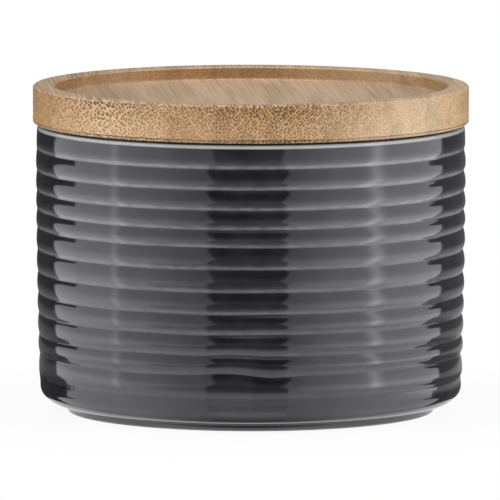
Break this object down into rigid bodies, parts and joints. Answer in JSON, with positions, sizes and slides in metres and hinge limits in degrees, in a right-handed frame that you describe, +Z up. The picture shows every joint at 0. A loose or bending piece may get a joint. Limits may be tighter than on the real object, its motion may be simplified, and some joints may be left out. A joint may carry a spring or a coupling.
{
  "type": "storage canister",
  "caption": "Round ribbed stoneware jar with a rounded base on a low foot ring, closed by a lift-off laminated bamboo lid with a shallow tray top and a sealed plug.",
  "frame": {"origin": "on the jar's axis, at the underside of the foot ring", "axes": "+Z up along the axis of the jar and lid, Y along the grain of the bamboo"},
  "size_m": [0.11, 0.11, 0.0824],
  "materials": {
    "charcoal_glaze": "glossy charcoal glaze, paler where it thins on the rim",
    "bamboo": "sanded and lightly oiled, fine dark fibre dots on the end grain",
    "silicone": "satin translucent white"
  },
  "bodies": {
    "jar": {"jar_body": "charcoal_glaze"},
    "seal": {"lid_seal": "silicone"},
    "lid": {"lid_top_strip_1": "bamboo", "lid_top_strip_2": "bamboo", "lid_top_strip_3": "bamboo", "lid_top_strip_4": "bamboo", "lid_top_strip_5": "bamboo", "lid_plug_strip_1": "bamboo", "lid_plug_strip_2": "bamboo", "lid_plug_strip_3": "bamboo", "lid_plug_strip_4": "bamboo", "lid_plug_strip_5": "bamboo"}
  },
  "joints": [
    {"name": "lid_lift", "type": "slide", "parent": "jar", "child": "seal", "axis": [0, 0, 1], "range_m": [0, 0.06]},
    {"name": "lid_turn", "type": "hinge", "parent": "seal", "child": "lid", "pos_m": [0, 0, 0.0686], "axis": [0, 0, 1], "continuous": true}
  ]
}
